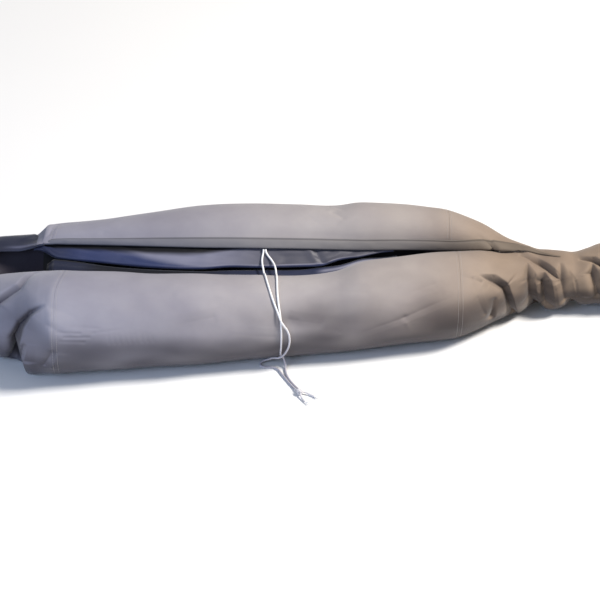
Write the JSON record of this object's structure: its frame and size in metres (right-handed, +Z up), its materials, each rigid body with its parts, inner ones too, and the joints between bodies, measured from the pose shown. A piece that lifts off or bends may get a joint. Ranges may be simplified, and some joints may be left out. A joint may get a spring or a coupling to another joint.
{
  "type": "padded car cover gathered in a bundle",
  "caption": "Padded car cover gathered into a long soft bundle, with a roll in front, a flap with a cord casing behind, a dark lining showing between them and a knotted drawcord.",
  "frame": {"origin": "on the floor under the middle of the bundle's bounding box", "axes": "+X along the bundle from the wide end to the gathered neck, +Y from the roll in front to the flap behind, +Z up"},
  "size_m": [1.43, 0.4638, 0.2149],
  "materials": {
    "outer_cloth": "coated silver-grey woven cloth over padding, soft sheen, fine wrinkles",
    "casing_cloth": "folded hem of darker grey cloth with a stitched edge",
    "lining_cloth": "smooth navy blue lining with a faint satin sheen",
    "cord": "white braided cord"
  },
  "bodies": {
    "root": {"middle_panel": "outer_cloth", "left_end_panel": "outer_cloth", "right_end_panel": "outer_cloth", "cord_casing": "casing_cloth", "lining_upper_fold": "lining_cloth", "lining_lower_fold": "lining_cloth", "lining_cuff": "lining_cloth", "drawcord_a": "cord", "drawcord_b": "cord", "drawcord_knot": "cord"}
  },
  "joints": []
}
